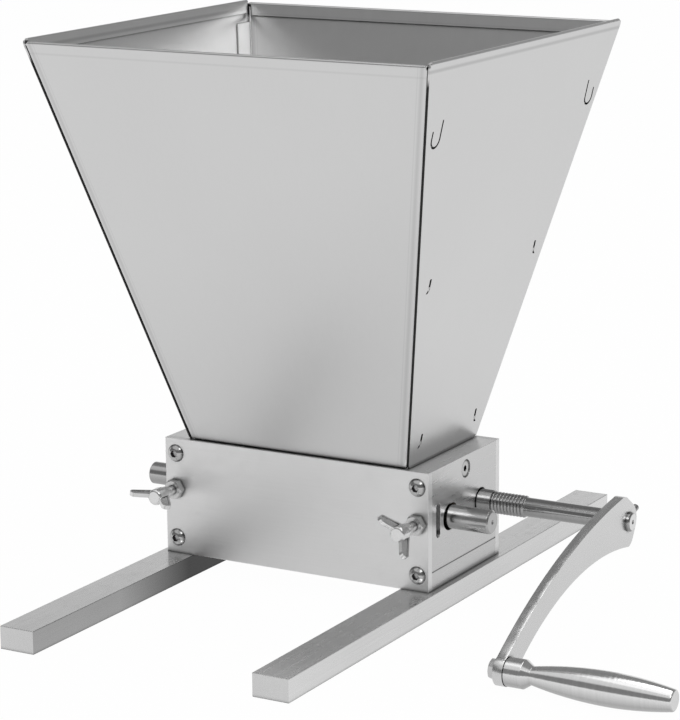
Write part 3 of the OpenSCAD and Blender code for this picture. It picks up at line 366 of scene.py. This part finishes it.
def break_edges(piece, width):
    """Rounds the sharp edges of a piece by modifiers, which leave its mesh as it is."""
    weld = piece.modifiers.new("weld", "WELD")
    weld.merge_threshold = WELD_REACH
    bevel = piece.modifiers.new("broken_edges", "BEVEL")
    bevel.width = width * MM
    bevel.segments = 3
    bevel.limit_method = "ANGLE"
    bevel.angle_limit = SHARP_ANGLE
    bevel.harden_normals = True


for width, names in EDGES.items():
    for name in names:
        break_edges(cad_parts[name], width)


# Studio: the camera sees a plain white floor and backdrop, metal mirrors a greyer floor and room

# Half the width of the floor, and how far it lies below the feet
FLOOR_REACH = 6.0
FLOOR_DROP = 0.2 * MM
# Share of plain white in the floor that the camera sees, the rest being lit and shaded
CAMERA_WHITE = 0.985
FLOOR_GREY = 0.80
# Brightness of the floor as mirrored in metal, darker below the mill as a painted shadow and brighter away
# from it, and where these begin
FLOOR_NEAR, FLOOR_FAR = 0.65, 0.79
NEAR_REACH, FAR_REACH = 0.08, 0.32
WHITE = (1.0, 1.0, 1.0, 1.0)
# Parts of the direction along Y and X over which the room turns into the one behind, and into the right one
BEHIND_FROM, BEHIND_FULL = -0.15, 0.02
RIGHT_FROM, RIGHT_FULL = 0.05, 0.35
# Brightness of the room by the sine of the elevation: in front of the mill, behind it and to its back right
ROOM_FRONT = [(0.0, 0.20), (0.52, 0.18), (0.60, 0.60), (0.84, 0.65), (0.87, 1.0), (1.0, 1.0)]
ROOM_BACK = [(0.0, 0.74), (0.30, 0.72), (0.38, 0.22), (0.86, 0.22), (0.92, 0.85), (1.0, 1.0)]
ROOM_RIGHT = [(0.0, 0.30), (0.30, 0.26), (0.86, 0.22), (0.92, 0.85), (1.0, 1.0)]

floor_mesh = bpy.data.meshes.new("floor")
sides = [(-1, -1), (1, -1), (1, 1), (-1, 1)]
corners = [(FLOOR_REACH * x, FLOOR_REACH * y, -FLOOR_DROP) for x, y in sides]
floor_mesh.from_pydata(corners, [], [(0, 1, 2, 3)])
floor = bpy.data.objects.new("floor", floor_mesh)
bpy.context.scene.collection.objects.link(floor)
floor_look = bpy.data.materials.new("floor_look")
floor_look.use_nodes = True
tree = floor_look.node_tree
tree.nodes.clear()
rays = node(tree, "ShaderNodeLightPath")
plain = node(tree, "ShaderNodeBsdfDiffuse", {"Color": (FLOOR_GREY, FLOOR_GREY, FLOOR_GREY, 1.0)}).outputs[0]
place = node(tree, "ShaderNodeTexCoord").outputs["Object"]
reach = node(tree, "ShaderNodeVectorMath", {0: place}, operation="LENGTH").outputs["Value"]
# Painted shadow: the floor seen in metal is darker close to the mill
mirrored_shine_with_painted_shadow = spread(tree, reach, NEAR_REACH, FAR_REACH, FLOOR_NEAR, FLOOR_FAR)
mirrored = node(tree, "ShaderNodeEmission", {"Color": WHITE, "Strength": mirrored_shine_with_painted_shadow}).outputs[0]
white = node(tree, "ShaderNodeEmission", {"Color": WHITE, "Strength": 1.0}).outputs[0]
seen_in_metal = node(
    tree, "ShaderNodeMixShader", {0: rays.outputs["Is Glossy Ray"], 1: plain, 2: mirrored}
).outputs[0]
seen = node(
    tree, "ShaderNodeMixShader",
    {0: maths(tree, "MULTIPLY", rays.outputs["Is Camera Ray"], CAMERA_WHITE), 1: seen_in_metal, 2: white},
).outputs[0]
node(tree, "ShaderNodeOutputMaterial", {"Surface": seen})
floor_mesh.materials.append(floor_look)


def room_ramp(tree, height, stops):
    """Brightness by height, from pairs of a height and a grey."""
    ramp = node(tree, "ShaderNodeValToRGB", {"Fac": height})
    elements = ramp.color_ramp.elements
    while len(elements) < len(stops):
        elements.new(0.5)
    for element, (place, grey) in zip(elements, stops):
        element.position = place
        element.color = (grey, grey, grey, 1.0)
    return ramp.outputs["Color"]


world = bpy.data.worlds.new("studio")
bpy.context.scene.world = world
world.use_nodes = True
tree = world.node_tree
tree.nodes.clear()
direction = node(tree, "ShaderNodeSeparateXYZ", {0: node(tree, "ShaderNodeTexCoord").outputs["Generated"]})
height = direction.outputs["Z"]
behind = spread(tree, direction.outputs["Y"], BEHIND_FROM, BEHIND_FULL, 0.0, 1.0)
rightward = spread(tree, direction.outputs["X"], RIGHT_FROM, RIGHT_FULL, 0.0, 1.0)
back = node(
    tree, "ShaderNodeMixRGB",
    {0: rightward, 1: room_ramp(tree, height, ROOM_BACK), 2: room_ramp(tree, height, ROOM_RIGHT)},
).outputs[0]
front = room_ramp(tree, height, ROOM_FRONT)
room = node(tree, "ShaderNodeMixRGB", {0: behind, 1: front, 2: back}).outputs[0]
rays = node(tree, "ShaderNodeLightPath")
studio = node(tree, "ShaderNodeBackground", {"Color": room, "Strength": 1.0}).outputs[0]
backdrop = node(tree, "ShaderNodeBackground", {"Color": WHITE, "Strength": 1.0}).outputs[0]
mixed = node(
    tree, "ShaderNodeMixShader", {0: rays.outputs["Is Camera Ray"], 1: studio, 2: backdrop}
).outputs[0]
node(tree, "ShaderNodeOutputWorld", {"Surface": mixed})


def soft_light(name, place, target, width, height, watts):
    """Area light of that size in metres, turned to its target."""
    data = bpy.data.lights.new(name, "AREA")
    data.shape = "RECTANGLE"
    data.size = width
    data.size_y = height
    data.energy = watts
    light = bpy.data.objects.new(name, data)
    light.location = place
    light.rotation_mode = "QUATERNION"
    light.rotation_quaternion = (Vector(target) - Vector(place)).to_track_quat("-Z", "Y")
    bpy.context.scene.collection.objects.link(light)


AIM = (0.05, 0.0, 0.12)
soft_light("key_light", (1.2, -1.2, 1.8), AIM, width=0.8, height=0.8, watts=5)
soft_light("top_light", (0.2, 0.3, 2.3), AIM, width=1.2, height=1.2, watts=8)


# Camera

camera_data = bpy.data.cameras.new("camera")
camera_data.sensor_width = SENSOR_WIDTH
camera_data.lens = CAMERA_LENS
camera_data.clip_start = NEAREST_SEEN
camera_data.clip_end = FARTHEST_SEEN
camera = bpy.data.objects.new("camera", camera_data)
bpy.context.scene.collection.objects.link(camera)
forward = Vector((
    math.sin(CAMERA_YAW) * math.cos(CAMERA_PITCH),
    math.cos(CAMERA_YAW) * math.cos(CAMERA_PITCH),
    math.sin(CAMERA_PITCH),
))
level_right = Vector((math.cos(CAMERA_YAW), -math.sin(CAMERA_YAW), 0.0))
level_up = level_right.cross(forward)
right = level_right * math.cos(CAMERA_ROLL) + level_up * math.sin(CAMERA_ROLL)
up = level_up * math.cos(CAMERA_ROLL) - level_right * math.sin(CAMERA_ROLL)
camera.matrix_world = Matrix.Translation(CAMERA_PLACE) @ Matrix((right, up, -forward)).transposed().to_4x4()
bpy.context.scene.camera = camera
bpy.context.scene.view_settings.view_transform = "Standard"
